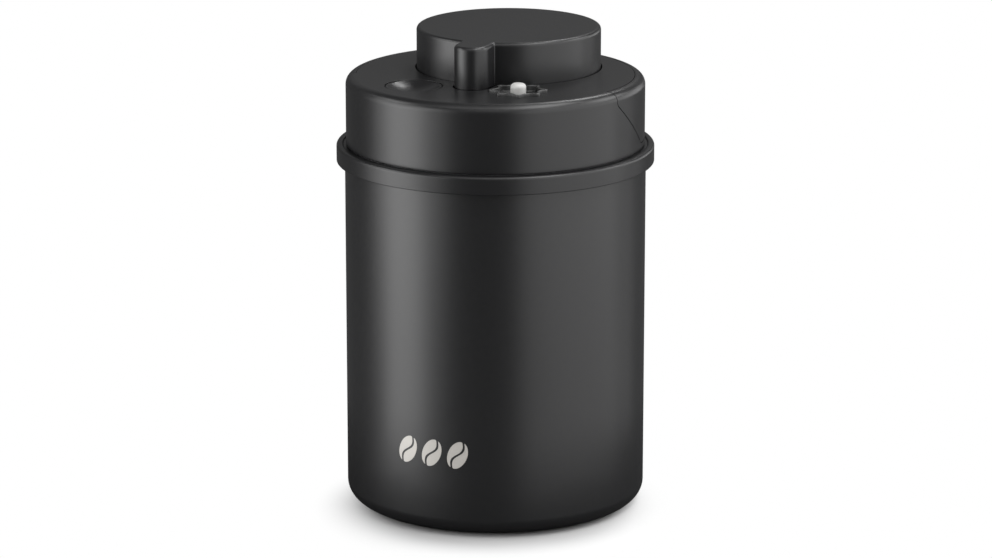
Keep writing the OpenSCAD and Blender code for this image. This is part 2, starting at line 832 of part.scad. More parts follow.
module indicator_clamp() {
    plate_low = cup_top + membrane_t + seat_gap;
    color(grey_plastic) at_pin() rotate_extrude() difference() {
        turned(clamp_r, cup_top - clamp_skirt, plate_low + clamp_t, 0, 0.5);
        band(0, cup_r + seat_gap, cup_top - clamp_skirt - cut, plate_low);
        band(0, clamp_bore, plate_low - cut, plate_low + clamp_t + cut);
    }
}

module indicator_spring() {
    color(steel) at_pin() spring(indicator_spring_r, indicator_wire, 7, floor_top + seat_gap,
        foot_low - 0.8 - seat_gap, 16);
}

canister_body();
collar_ring();
base_pad();
lid_cover();
lid_rear_cover();
lid_chassis();
lid_gasket();
cover_screws();
pump_barrel();
barrel_cap();
barrel_seal();
barrel_screws();
intake_valve();
inlet_screen();
screen_ring();
pump_spring();
pump_knob();
pump_piston();
piston_seal();
exhaust_valve();
knob_screws();
release_button();
release_stopper();
release_spring();
indicator_boot();
indicator_pin();
indicator_diaphragm();
indicator_clamp();
indicator_spring();
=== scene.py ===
# %% [markdown]
# # A black coffee canister with a hand pump in its lid
# The canister is a painted steel can with a plastic collar clipped over its rim. Its lid plugs into
# the mouth. A large knob with a tab works a pump that draws the air out, a dished button lets the
# air in again, and a white pin in a rubber boot drops when the air is gone. Nearly every piece is
# turned or extruded, so the lesson is about half sections that are spun, outlines that are raised,
# and how small rounded edges make black plastic readable.

# %% Load the frame
import json
import math

import bmesh
import bpy
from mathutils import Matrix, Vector


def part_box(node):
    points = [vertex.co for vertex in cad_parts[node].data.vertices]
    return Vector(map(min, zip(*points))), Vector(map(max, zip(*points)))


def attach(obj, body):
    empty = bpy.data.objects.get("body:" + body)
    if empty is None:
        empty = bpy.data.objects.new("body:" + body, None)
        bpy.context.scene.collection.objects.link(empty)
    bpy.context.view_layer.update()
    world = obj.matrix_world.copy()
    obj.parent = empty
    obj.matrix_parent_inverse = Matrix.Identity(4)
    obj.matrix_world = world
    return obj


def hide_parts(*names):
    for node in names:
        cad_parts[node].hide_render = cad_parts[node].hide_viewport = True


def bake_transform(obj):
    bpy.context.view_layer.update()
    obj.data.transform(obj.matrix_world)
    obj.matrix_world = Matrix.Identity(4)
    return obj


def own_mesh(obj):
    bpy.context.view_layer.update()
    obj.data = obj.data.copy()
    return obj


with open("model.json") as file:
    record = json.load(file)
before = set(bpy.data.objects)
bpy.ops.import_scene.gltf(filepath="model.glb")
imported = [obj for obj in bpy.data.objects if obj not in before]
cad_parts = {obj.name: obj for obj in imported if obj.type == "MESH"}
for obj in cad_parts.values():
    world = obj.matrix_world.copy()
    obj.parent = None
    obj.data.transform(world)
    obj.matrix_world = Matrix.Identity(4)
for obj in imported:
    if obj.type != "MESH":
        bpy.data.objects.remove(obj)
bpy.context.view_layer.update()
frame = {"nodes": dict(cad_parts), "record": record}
nodes = frame["nodes"]
mm = 0.001

# %% [markdown]
# ## Camera
# The photograph looks at the front from 20 degrees to the right and about 15 degrees above, from
# one and a half metres away, so a long lens keeps the sides upright. Its picture is 992 pixels wide.

# %% Camera
camera_azimuth = math.radians(20)
camera_pitch = math.radians(14.81)
camera_distance = 1.5391
camera_height = 0.495
picture_width = 992
focal_pixels = 4043.5
axis_pixels_left = 0.6

bpy.ops.object.camera_add(
    location=(
        camera_distance * math.sin(camera_azimuth),
        -camera_distance * math.cos(camera_azimuth),
        camera_height,
    ),
    rotation=(math.pi / 2 - camera_pitch, 0, camera_azimuth),
)
camera = bpy.context.object
camera.name = "camera"
camera.data.sensor_width = 36
camera.data.lens = focal_pixels / picture_width * camera.data.sensor_width
camera.data.shift_x = axis_pixels_left / picture_width
camera.data.clip_start = 0.05
camera.data.clip_end = 50
bpy.context.scene.camera = camera
bpy.context.scene.view_settings.view_transform = "Standard"
print("lens", round(camera.data.lens, 2), "mm")

# %% [markdown]
# ## Small helpers
# Modelling by hand means selecting, then using a tool. These helpers select by place, and draw an
# outline corner by corner from a single point, the way one clicks it with the extrude tool.


# %% Selecting and drawing
def deselect_all():
    bpy.ops.object.select_all(action="DESELECT")


def activate(piece):
    deselect_all()
    piece.select_set(True)
    bpy.context.view_layer.objects.active = piece


def select_points(piece, test):
    """In edit mode, selects the vertices whose place passes the test, and what lies between them."""
    mesh = bmesh.from_edit_mesh(piece.data)
    for vertex in mesh.verts:
        vertex.select_set(bool(test(vertex.co)))
    mesh.select_flush(True)
    mesh.select_flush(False)
    bmesh.update_edit_mesh(piece.data)


def select_edges(piece, test):
    """In edit mode, selects only the edges that pass the test."""
    bpy.ops.mesh.select_all(action="DESELECT")
    bpy.ops.mesh.select_mode(type="EDGE")
    mesh = bmesh.from_edit_mesh(piece.data)
    chosen = [edge for edge in mesh.edges if test(edge)]
    for edge in chosen:
        edge.select_set(True)
    bmesh.update_edit_mesh(piece.data)
    return len(chosen)


def select_faces(piece, test):
    """In edit mode, selects only the faces that pass the test."""
    bpy.ops.mesh.select_all(action="DESELECT")
    bpy.ops.mesh.select_mode(type="FACE")
    mesh = bmesh.from_edit_mesh(piece.data)
    for face in mesh.faces:
        face.select_set(bool(test(face)))
    bmesh.update_edit_mesh(piece.data)


def start_point(name, place):
    """A new piece of one point, left in edit mode."""
    deselect_all()
    bpy.ops.mesh.primitive_plane_add(size=mm)
    piece = bpy.context.object
    piece.name = piece.data.name = name
    bpy.ops.object.mode_set(mode="EDIT")
    bpy.ops.mesh.select_mode(type="VERT")
    bpy.ops.mesh.merge(type="CENTER")
    bpy.ops.transform.translate(value=place)
    return piece


def draw_by(step):
    bpy.ops.mesh.extrude_region_move(TRANSFORM_OT_translate={"value": step})


def close_shell():
    """Merges doubles and turns all faces outwards, then leaves edit mode."""
    bpy.ops.mesh.select_mode(type="VERT")
    bpy.ops.mesh.select_all(action="SELECT")
    bpy.ops.mesh.remove_doubles(threshold=merge_reach)
    bpy.ops.mesh.normals_make_consistent(inside=False)
    bpy.ops.object.mode_set(mode="OBJECT")


merge_reach = 0.002 * mm
same_place = 0.01 * mm

# %% [markdown]
# ## Turned pieces
# A can, a collar, a gasket and a pin are all half sections spun round an axis. The outline is drawn
# in the XZ plane with sharp corners. A vertex bevel then rounds the corners that are round on the
# real piece, and only after that is the outline spun, so one small edit rounds the whole rim.


# %% Drawing and turning
def drawn(name, corners, rounds=(), closed=True, arc_steps=8):
    """A wire outline through corners; rounds gives corner number and radius. Left in edit mode."""
    piece = start_point(name, corners[0])
    for here, there in zip(corners, corners[1:]):
        draw_by(there - here)
    if closed:
        select_points(piece, lambda co: min((co - corners[i]).length for i in (0, -1)) < same_place)
        bpy.ops.mesh.edge_face_add()
    for corner, radius in rounds:
        before, here, after = (corners[(corner + i) % len(corners)] for i in (-1, 0, 1))
        turn = (here - before).angle(after - here)
        select_points(piece, lambda co: (co - here).length < same_place)
        bpy.ops.mesh.bevel(
            offset=radius * math.tan(turn / 2), segments=arc_steps, affect="VERTICES", clamp_overlap=False
        )
    bpy.ops.mesh.select_all(action="SELECT")
    return piece


def turned(name, outline, rounds=(), centre=(0, 0), steps=192, arc_steps=8):
    """Spins an outline of (radius, height) corners. One that starts on the axis also ends there."""
    x, y = centre
    corners = [Vector((x + r, y, z)) for r, z in outline]
    piece = drawn(name, corners, rounds, outline[0][0] > 0, arc_steps)
    bpy.ops.mesh.spin(steps=steps, angle=math.tau, center=(x, y, 0), axis=(0, 0, 1))
    close_shell()
    return piece


# %% [markdown]
# ## Raised outlines and cuts
# The knob with its tab isn't turned. Its outline is drawn in the XY plane instead: spinning one
# point round a centre draws an arc. The right half is drawn, mirrored and filled, then raised.
# Openings are cut with the Boolean modifier, with a cutter that is modelled like any other piece.


# %% Raising, cutting and joining
def raise_face(height):
    """Fills the selected outline and raises it."""
    bpy.ops.mesh.edge_face_add()
    bpy.ops.mesh.select_mode(type="FACE")
    bpy.ops.mesh.extrude_region_move(TRANSFORM_OT_translate={"value": (0, 0, height)})


def rod(name, radius, low, high, centre=(0, 0), steps=64):
    return turned(name, [(0, low), (radius, low), (radius, high), (0, high)], centre=centre, steps=steps)


def combine(piece, tool, how):
    """Unites the piece with a tool, cuts the tool away, or keeps what both share."""
    activate(piece)
    bpy.ops.object.modifier_add(type="BOOLEAN")
    step = piece.modifiers[-1]
    step.operation = how
    step.solver = "EXACT"
    step.object = tool
    bpy.ops.object.modifier_apply(modifier=step.name)
    bpy.data.objects.remove(tool)


def outer_angle(edge):
    """How sharply two faces meet at an edge, in degrees, positive on an outer corner."""
    if len(edge.link_faces) != 2:
        return 0
    return math.degrees(edge.calc_face_angle_signed(0))


def round_edges(piece, test, radius, segments=3):
    """Rounds the chosen edges, as a mould's polished corner does."""
    activate(piece)
    bpy.ops.object.mode_set(mode="EDIT")
    count = select_edges(piece, test)
    if count:
        bpy.ops.mesh.bevel(offset=radius, segments=segments, affect="EDGES", clamp_overlap=False)
    bpy.ops.object.mode_set(mode="OBJECT")
    return count


def smooth(piece, angle=35):
    """Shades curved faces smooth, and keeps flat faces flat beside their rounded edges."""
    activate(piece)
    bpy.ops.object.shade_smooth_by_angle(angle=math.radians(angle))
    bpy.ops.object.modifier_add(type="WEIGHTED_NORMAL")
    piece.modifiers[-1].keep_sharp = True
    bpy.ops.object.modifier_apply(modifier=piece.modifiers[-1].name)


# %% [markdown]
# ## Materials
# A black product is mostly its gloss: the colour is nearly the same on all its pieces, and the
# finish tells them apart. Each material is named for what it is. One helper adds a node with its
# settings and links, and colours are written as sRGB hex values and turned to linear here.


# %% Material helpers
def linear(hex_colour):
    """Linear colour with alpha of an sRGB hex value."""
    parts = [int(hex_colour[i : i + 2], 16) / 255 for i in (1, 3, 5)]
    return (*(c / 12.92 if c <= 0.04045 else ((c + 0.055) / 1.055) ** 2.4 for c in parts), 1)


def add(tree, kind, inputs=(), **settings):
    """Adds a node. Inputs are values, or sockets that are linked."""
    made = tree.nodes.new(kind)
    for name, value in settings.items():
        setattr(made, name, value)
    for name, value in dict(inputs).items():
        if isinstance(value, bpy.types.NodeSocket):
            tree.links.new(value, made.inputs[name])
        else:
            made.inputs[name].default_value = value
    return made


def new_material(name, settings):
    """A material with one Principled shader and the settings of that shader."""
    material = bpy.data.materials.new(name)
    material.use_nodes = True
    tree = material.node_tree
    shader = tree.nodes["Principled BSDF"]
    for socket, value in settings.items():
        shader.inputs[socket].default_value = value
    return material, tree, shader


def per_mm(size):
    """Texture scale at which one feature is that many millimetres wide."""
    return 1 / (size * mm)


# %% [markdown]
# ### Powder coat, moulded ABS and the rest
# The can is satin black powder coat: the paint melts and flows, which leaves a faint orange peel
# about a millimetre wide under a fine grain. The lid, collar and knob are ABS from a mould with a
# fine spark-eroded surface. Silicone is softer, with a broad dull sheen. The fine grain is really
# below a tenth of a millimetre, and is drawn coarser here, or it would not show at all.


# %% Black finishes
def grained(name, settings, roughness, grain_size, grain_depth, wave_size, wave_depth, tones):
    """A satin black finish with a fine grain over a broad, shallow waviness."""
    material, tree, shader = new_material(name, settings)
    place = add(tree, "ShaderNodeTexCoord").outputs["Object"]
    wave = add(tree, "ShaderNodeTexNoise", {"Vector": place, "Scale": per_mm(wave_size), "Detail": 2.0})
    grain = add(tree, "ShaderNodeTexNoise", {"Vector": place, "Scale": per_mm(grain_size), "Detail": 3.0})
    gloss = add(
        tree,
        "ShaderNodeMapRange",
        {"Value": grain.outputs["Fac"], "From Min": 0.3, "From Max": 0.7,
         "To Min": roughness[0], "To Max": roughness[1]},
    )
    tone = add(tree, "ShaderNodeValToRGB", {"Fac": wave.outputs["Fac"]})
    tone.color_ramp.elements[0].position = 0.35
    tone.color_ramp.elements[1].position = 0.65
    tone.color_ramp.elements[0].color = linear(tones[0])
    tone.color_ramp.elements[1].color = linear(tones[1])
    wavy = add(
        tree,
        "ShaderNodeBump",
        {"Height": wave.outputs["Fac"], "Strength": 1.0, "Distance": wave_depth * mm},
    )
    bumps = add(
        tree,
        "ShaderNodeBump",
        {"Height": grain.outputs["Fac"], "Strength": 1.0, "Distance": grain_depth * mm,
         "Normal": wavy.outputs["Normal"]},
    )
    tree.links.new(tone.outputs["Color"], shader.inputs["Base Color"])
    tree.links.new(gloss.outputs["Result"], shader.inputs["Roughness"])
    tree.links.new(bumps.outputs["Normal"], shader.inputs["Normal"])
    return material


powder_coat = grained(
    "satin_black_powder_coat", {"IOR": 1.52}, (0.31, 0.37), 0.45, 0.0015, 2.2, 0.003, ("#151516", "#171718")
)
black_abs = grained(
    "spark_eroded_black_ABS", {"IOR": 1.47}, (0.3, 0.36), 0.35, 0.0012, 3.0, 0.0015, ("#151516", "#161617")
)
black_silicone = grained(
    "matt_black_silicone", {"IOR": 1.41}, (0.36, 0.44), 0.3, 0.002, 1.5, 0.003, ("#363636", "#3c3c3c")
)
grey_pp = grained(
    "moulded_grey_polypropylene", {"IOR": 1.49}, (0.42, 0.5), 0.4, 0.003, 4.0, 0.004, ("#414142", "#47474a")
)
white_acetal = grained(
    "moulded_white_acetal", {"IOR": 1.48}, (0.34, 0.42), 0.4, 0.002, 2.0, 0.002, ("#b6b5b3", "#bcbbb9")
)

# %% [markdown]
# ## The can
# A deep-drawn steel can: straight side, a nine-millimetre radius into the base, and a shallow
# recess under it for the pad. Its half section follows the sheet round both faces.

# %% Can, collar and pad
can_low, can_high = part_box("canister_body")
collar_low, collar_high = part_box("collar_ring")
pad_low, pad_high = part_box("base_pad")
bead_proud = 0.5 * mm
can_radius = can_high.x - bead_proud
can_wall = 0.8 * mm
foot_round = 6.5 * mm
pad_radius = pad_high.x
pad_seat = pad_radius + 0.2 * mm
inner = can_radius - can_wall
can = turned(
    "can",
    [
        (0, pad_high.z),
        (pad_seat, pad_high.z),
        (pad_seat, can_low.z),
        (can_radius, can_low.z),
        (can_radius, can_high.z),
        (inner, can_high.z),
        (inner, can_low.z + can_wall),
        (pad_seat + can_wall, can_low.z + can_wall),
        (pad_seat + can_wall, pad_high.z + can_wall),
        (0, pad_high.z + can_wall),
    ],
    [(2, 0.3 * mm), (3, foot_round), (4, 0.3 * mm), (5, 0.3 * mm), (6, foot_round - can_wall)],
    arc_steps=10,
)
print("can", len(can.data.polygons), "faces")

collar_radius = collar_high.x
lid_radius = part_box("lid_cover")[1].x
lip_height = 0.6 * mm
collar_top = collar_high.z - lip_height
collar_band = 6.4 * mm
fit = 0.05 * mm
sleeve = inner - fit
sleeve_wall = 1.7 * mm
mouth = sleeve - sleeve_wall
lead_in = 0.6 * mm
lip_inner = lid_radius + 1.05 * mm
lip_round = 1.2 * mm
collar = turned(
    "collar",
    [
        (can_radius + fit, collar_top - collar_band),
        (collar_radius, collar_top - collar_band),
        (collar_radius, collar_high.z),
        (lip_inner, collar_high.z),
        (lip_inner, collar_top),
        (mouth + lead_in, collar_top),
        (mouth, collar_top - lead_in),
        (mouth, collar_low.z),
        (sleeve, collar_low.z),
        (sleeve, can_high.z),
        (can_radius + fit, can_high.z),
    ],
    [(0, 0.1 * mm), (1, 0.3 * mm), (2, lip_round), (3, lip_round * 0.6), (7, 0.4 * mm), (8, 0.4 * mm)],
)

groove_width = 1.6 * mm
groove_depth = 0.4 * mm
grooves = [0.55 * pad_radius, 0.8 * pad_radius]
pad_outline = [(0, pad_low.z)]
for start in grooves:
    for radius, height in ((start, 0), (start, groove_depth), (start + groove_width, groove_depth),
                           (start + groove_width, 0)):
        pad_outline.append((radius, pad_low.z + height))
pad_outline += [(pad_radius, pad_low.z), (pad_radius, pad_high.z), (0, pad_high.z)]
pad = turned("base_grip", pad_outline, [(len(pad_outline) - 3, groove_depth)])
print("can", len(can.data.polygons), "collar", len(collar.data.polygons), "faces")

# %% [markdown]
# ## The lid's gasket
# The plug is sealed by a silicone band with two soft lips that lean against the mouth. It shows
# when the lid is lifted out.

# %% Gasket
gasket_low, gasket_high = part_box("lid_gasket")
lip_root = gasket_high.x - 0.85 * mm
band_root = lip_root - 1.05 * mm
lip_starts = [gasket_low.z + 0.95 * mm, gasket_low.z + 4.25 * mm]
gasket_outline = [(band_root, gasket_low.z), (lip_root, gasket_low.z)]
for start in lip_starts:
    gasket_outline += [
        (lip_root, start),
        (gasket_high.x, start + 1.4 * mm),
        (gasket_high.x, start + 1.7 * mm),
        (lip_root, start + 1.1 * mm),
    ]
gasket_outline += [(lip_root, gasket_high.z), (band_root, gasket_high.z)]
gasket = turned("gasket", gasket_outline)

# %% [markdown]
# ## The knob
# One large moulded cap: a circle with a half-round tab towards the front. Small fillets join tab and
# knob, and the top edge has a radius that catches the light in one thin line all round. The hollow
# is made as a mould makes it, an even wall inside the outline.

# %% Knob outline
knob_low, knob_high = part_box("pump_knob")
knob_radius = knob_high.x
knob_back = knob_high.y - knob_radius
tab_half = 6.9 * mm
tab_y = knob_low.y + tab_half
tab_fillet = 0.5 * mm
knob_round = 1.5 * mm
knob_wall = 2.2 * mm
knob_gap = 0.5 * mm
smallest_fillet = 0.1 * mm


def arc(centre, angle, steps):
    """Draws on from the selected point, clockwise round a centre, seen from above."""
    bpy.ops.mesh.spin(steps=steps, angle=angle, center=(*centre, 0), axis=(0, 0, 1))


def knob_outline(name, grow, low):
    """The outline of knob and tab, grown by a gap, as a closed wire left in edit mode."""
    radius, half = knob_radius + grow, tab_half + grow
    fillet = max(tab_fillet - grow, smallest_fillet)
    fillet_x = half + fillet
    fillet_y = knob_back - math.sqrt((radius + fillet) ** 2 - fillet_x**2)
    lean = math.atan2(knob_back - fillet_y, fillet_x)
    piece = start_point(name, (0, knob_back + radius, low))
    arc((0, knob_back), math.pi / 2 + lean, 96)
    arc((fillet_x, fillet_y), -lean, 8)
    draw_by((0, tab_y - fillet_y, 0))
    arc((0, tab_y), math.pi / 2, 24)
    bpy.ops.mesh.select_all(action="SELECT")
    bpy.ops.mesh.duplicate()
    bpy.ops.transform.resize(value=(-1, 1, 1), center_override=(0, 0, 0))
    bpy.ops.mesh.select_all(action="SELECT")
    bpy.ops.mesh.remove_doubles(threshold=merge_reach)
    return piece


def knob_block(name, grow, low, high):
    piece = knob_outline(name, grow, low)
    raise_face(high - low)
    close_shell()
    return piece


# %% Knob
knob = knob_block("knob", 0, knob_low.z, knob_high.z)
activate(knob)
bpy.ops.object.mode_set(mode="EDIT")
select_faces(knob, lambda face: face.normal.z < -0.9)
bpy.ops.mesh.inset(thickness=knob_wall)
bpy.ops.mesh.extrude_region_move(
    TRANSFORM_OT_translate={"value": (0, 0, knob_high.z - knob_low.z - knob_wall)}
)
top_rim = select_edges(
    knob, lambda edge: outer_angle(edge) > 40 and all(v.co.z > knob_high.z - same_place for v in edge.verts)
)
bpy.ops.mesh.bevel(offset=knob_round, segments=8, affect="EDGES", clamp_overlap=False)
close_shell()
print("knob rim edges", top_rim, "faces", len(knob.data.polygons))

# %% [markdown]
# ## The release button
# A cup-shaped button whose top is a shallow spherical dish. The dish is drawn as the arc of the
# sphere that passes through its rim, then turned.

# %% Button
button_low, button_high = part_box("release_button")
button_centre = ((button_low.x + button_high.x) / 2, (button_low.y + button_high.y) / 2)
button_radius = (button_high.x - button_low.x) / 2
dish_rim = 1 * mm
dish_depth = 2.6 * mm
dish_radius = button_radius - dish_rim
dish_sphere = (dish_radius**2 + dish_depth**2) / (2 * dish_depth)
dish_angle = math.asin(dish_radius / dish_sphere)
dish_steps = 20
button_body = 5 * mm
button_wall = 1.5 * mm
button_skirt = button_high.z - 8.5 * mm
stem_radius = 2.5 * mm
button_outline = [
    (
        dish_sphere * math.sin(dish_angle * i / dish_steps),
        button_high.z - dish_depth + dish_sphere * (1 - math.cos(dish_angle * i / dish_steps)),
    )
    for i in range(dish_steps + 1)
]
rim_corner = len(button_outline)
button_outline += [
    (button_radius, button_high.z),
    (button_radius, button_skirt),
    (button_radius - button_wall, button_skirt),
    (button_radius - button_wall, button_high.z - button_body),
    (stem_radius, button_high.z - button_body),
    (stem_radius, button_low.z),
    (0, button_low.z),
]
button = turned(
    "button", button_outline, [(rim_corner, 0.2 * mm), (rim_corner - 1, 0.5 * mm)], button_centre, steps=128
)
print("button dish sphere", round(dish_sphere / mm, 1), "mm")

# %% [markdown]
# ## Pin and boot
# The pin is a plain acetal rod with a soft rounded top. The boot round it is silicone: a neck that
# grips the pin, fine ripples that let it flex, and a raised lip with eight lobes. It is turned round
# first, and its lobes are then pressed in by moving each point out or in with its angle. A second,
# smaller wave points the lobes and flattens the valleys between them.

# %% Pin and boot
pin_low, pin_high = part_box("indicator_pin")
pin_centre = ((pin_low.x + pin_high.x) / 2, (pin_low.y + pin_high.y) / 2)
pin_radius = 3 * mm
pin_foot_radius = (pin_high.x - pin_low.x) / 2
pin_foot = 1.5 * mm
pin = turned(
    "pin",
    [
        (0, pin_low.z),
        (pin_foot_radius, pin_low.z),
        (pin_foot_radius, pin_low.z + pin_foot),
        (pin_radius, pin_low.z + pin_foot),
        (pin_radius, pin_high.z),
        (0, pin_high.z),
    ],
    [(2, 0.4 * mm), (4, 1.6 * mm)],
    pin_centre,
    steps=96,
    arc_steps=10,
)

lid_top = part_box("lid_cover")[1].z
boot_low, boot_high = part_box("indicator_boot")
boot_middle = 9.7 * mm
lobe_count = 8
lobe_height = 1.2 * mm
lobe_point = 0.25
lobe_turn = math.radians(20)
boot_lip = 1.1 * mm
boot_floor = lid_top - 1.2 * mm
boot_body = lid_top - 3 * mm
neck_outer = pin_radius + 1.75 * mm
neck_bore = pin_radius + 0.25 * mm
boot_neck_low = boot_low.z
ripple_pitch = 1.3 * mm
ripple_height = 0.45 * mm
ripple_width = 0.7 * mm
ripple_count = 3


def press_lobes(piece, centre, reach):
    """Moves each point out or in by the lobes, fully at the given radius and not at all at the neck."""
    for vertex in piece.data.vertices:
        x, y = vertex.co.x - centre[0], vertex.co.y - centre[1]
        radius = math.hypot(x, y)
        share = min(max((radius - neck_outer) / (reach - neck_outer), 0), 1)
        wave = lobe_count * (math.atan2(y, x) - lobe_turn)
        lobe = lobe_height * share * (math.cos(wave) + lobe_point * math.cos(2 * wave))
        if radius > 0:
            vertex.co.x += x / radius * lobe
            vertex.co.y += y / radius * lobe


boot_outline = [
    (neck_bore, boot_neck_low),
    (neck_outer, boot_neck_low),
    (neck_outer, boot_body),
    (boot_middle, boot_body),
    (boot_middle, boot_high.z),
    (boot_middle - boot_lip, boot_high.z),
    (boot_middle - boot_lip, boot_floor),
]
boot_rounds = [(4, 0.5 * mm), (5, 0.5 * mm)]
for i in range(ripple_count):
    crest = boot_middle - boot_lip - 0.5 * mm - ripple_pitch * i
    first = len(boot_outline)
    boot_outline += [
        (crest, boot_floor),
        (crest, boot_floor + ripple_height),
        (crest - ripple_width, boot_floor + ripple_height),
        (crest - ripple_width, boot_floor),
    ]
    boot_rounds += [(first + 1, 0.3 * mm), (first + 2, 0.3 * mm)]
boot_outline.append((neck_bore, boot_floor))
boot = turned("boot", boot_outline, boot_rounds, pin_centre, steps=192, arc_steps=4)
press_lobes(boot, pin_centre, boot_middle)
print("boot", len(boot.data.polygons), "faces")

# %% [markdown]
# ## The lid's shell and its rear cover
# The lid's skirt is two mouldings. The front one carries the top. The rear one is let into it, and
# meets it at a thin seam that comes down from the top, leans back and then runs round just above the
# lower edge. Seen from the side that seam is one outline with two bends, so it is drawn in the YZ
# plane and pushed right through the lid. The same block, grown by the seam's gap, cuts the recess.

# %% The seam's block
lid_round = 3.65 * mm
lid_wall = 2.2 * mm
skirt_low = collar_top + 0.7 * mm
lid_under = lid_top - lid_wall
lid_inner = lid_radius - lid_wall
rear_wall = 1.6 * mm
seam_gap = 0.3 * mm
seam_y = -17 * mm
seam_slope = math.radians(41)
seam_bend = 3 * mm
seam_bend_z = lid_top - 3.6 * mm
seam_low = skirt_low + 2.6 * mm
upper_turn = math.pi / 2 - seam_slope
upper_corner_z = seam_bend_z - seam_bend * math.tan(upper_turn / 2)
lower_corner_y = seam_y + (upper_corner_z - seam_low) / math.tan(seam_slope)
past = 12 * mm


def seam_block(name, grow):
    """The space of the rear cover, pushed through the lid from side to side."""
    side = -lid_radius - past
    corners = [
        Vector((side, seam_y - grow, lid_top + past)),
        Vector((side, seam_y - grow, upper_corner_z - grow * math.tan(upper_turn / 2))),
        Vector((side, lower_corner_y - grow * math.tan(seam_slope / 2), seam_low - grow)),
        Vector((side, lid_radius + past, seam_low - grow)),
        Vector((side, lid_radius + past, lid_top + past)),
    ]
    bend = seam_bend + grow
    piece = drawn(name, corners, [(1, bend), (2, bend)], arc_steps=12)
    bpy.ops.mesh.edge_face_add()
    bpy.ops.mesh.select_mode(type="FACE")
    bpy.ops.mesh.extrude_region_move(TRANSFORM_OT_translate={"value": (-2 * side, 0, 0)})
    close_shell()
    return piece


def flatten_faces(piece):
    """Joins faces that lie in one plane, so a Boolean's slivers go."""
    activate(piece)
    bpy.ops.object.mode_set(mode="EDIT")
    bpy.ops.mesh.select_all(action="SELECT")
    bpy.ops.mesh.dissolve_limited(angle_limit=math.radians(0.2))
    bpy.ops.object.mode_set(mode="OBJECT")


# %% Lid shell
flange_radius = lid_inner + 1.4 * mm
flange_top = skirt_low + 1.5 * mm
liner_inner = lid_inner - 1.4 * mm
liner_outer = lid_radius - rear_wall - seam_gap
shell = turned(
    "lid_shell",
    [
        (0, lid_top),
        (lid_radius, lid_top),
        (lid_radius, skirt_low),
        (flange_radius, skirt_low),
        (flange_radius, flange_top),
        (lid_inner, flange_top),
        (lid_inner, lid_under),
        (0, lid_under),
    ],
    [(1, lid_round), (2, 0.3 * mm), (6, lid_round - lid_wall)],
    arc_steps=12,
)
liner = turned(
    "liner",
    [
        (liner_inner, flange_top),
        (lid_radius - rear_wall, flange_top),
        (lid_radius - rear_wall, lid_top - rear_wall),
        (liner_inner, lid_top - rear_wall),
    ],
    [(2, lid_round - rear_wall)],
)
combine(liner, seam_block("liner_block", 3 * mm), "INTERSECT")
combine(shell, liner, "UNION")
well_low = 152.15 * mm
well_wall = 1.8 * mm
combine(shell, knob_block("well", knob_gap + well_wall, well_low, lid_under + 0.2 * mm), "UNION")
boss_radius = 3.2 * mm
boss_out = 48.6 * mm
boss_low = 133.25 * mm
for angle in (0, 62, 122, 238, 298):
    turn = math.radians(angle)
    centre = (boss_out * math.sin(turn), -boss_out * math.cos(turn))
    combine(shell, rod("boss", boss_radius, boss_low, lid_under + 0.2 * mm, centre, 48), "UNION")
button_hole = button_radius + 0.3 * mm
tower_low = 160 * mm
combine(shell, rod("tower", button_hole + 1.8 * mm, tower_low, lid_under + 0.2 * mm, button_centre), "UNION")
boot_pad_radius = 12 * mm
boot_pad_low = boot_neck_low + 1.2 * mm
combine(shell, rod("boot_seat", boot_pad_radius, boot_pad_low, lid_under + 0.2 * mm, pin_centre), "UNION")
print("lid shell", len(shell.data.polygons), "faces before its openings")

# %% Openings of the lid
recess = turned(
    "recess",
    [
        (54.1 * mm, lid_top - rear_wall - seam_gap),
        (liner_outer, lid_top - rear_wall - seam_gap),
        (liner_outer, skirt_low),
        (lid_radius + past, skirt_low),
        (lid_radius + past, lid_top + past),
        (54.1 * mm, lid_top + past),
    ],
    [(1, lid_round - rear_wall)],
)
combine(recess, seam_block("recess_block", seam_gap), "INTERSECT")
combine(shell, recess, "DIFFERENCE")
combine(shell, knob_block("knob_opening", knob_gap, well_low - mm, lid_top + mm), "DIFFERENCE")
combine(shell, rod("button_opening", button_hole, tower_low - mm, lid_top + mm, button_centre, 128), "DIFFERENCE")
boot_opening = turned(
    "boot_opening",
    [
        (0, boot_pad_low - mm),
        (neck_outer + fit, boot_pad_low - mm),
        (neck_outer + fit, boot_body),
        (boot_middle + fit, boot_body),
        (boot_middle + fit, lid_top + mm),
        (0, lid_top + mm),
    ],
    centre=pin_centre,
)
press_lobes(boot_opening, pin_centre, boot_middle + fit)
combine(shell, boot_opening, "DIFFERENCE")
flatten_faces(shell)


def on_top(edge):
    """A sharp outer edge in the lid's top face, away from its round outer edge."""
    middle = (edge.verts[0].co + edge.verts[1].co) / 2
    return (
        abs(edge.verts[0].co.z - lid_top) < same_place
        and abs(edge.verts[1].co.z - lid_top) < same_place
        and math.hypot(middle.x, middle.y) < 53 * mm
        and outer_angle(edge) > 40
    )


print("rims of the openings", round_edges(shell, on_top, 0.15 * mm), "edges")

# %% Rear cover
rear_edge = 54.3 * mm
rear_cover = turned(
    "rear_skirt",
    [
        (rear_edge, lid_top - rear_wall),
        (lid_radius - rear_wall, lid_top - rear_wall),
        (lid_radius - rear_wall, skirt_low),
        (lid_radius, skirt_low),
        (lid_radius, lid_top),
        (rear_edge, lid_top),
    ],
    [(1, lid_round - rear_wall), (4, lid_round)],
    arc_steps=12,
)
combine(rear_cover, seam_block("rear_block", 0), "INTERSECT")
flatten_faces(rear_cover)


def on_seam(edge):
    """A sharp outer edge that lies in the lid's outer surface."""
    return outer_angle(edge) > 40 and all(
        math.hypot(v.co.x, v.co.y) > lid_radius - same_place or v.co.z > lid_top - same_place for v in edge.verts
    )


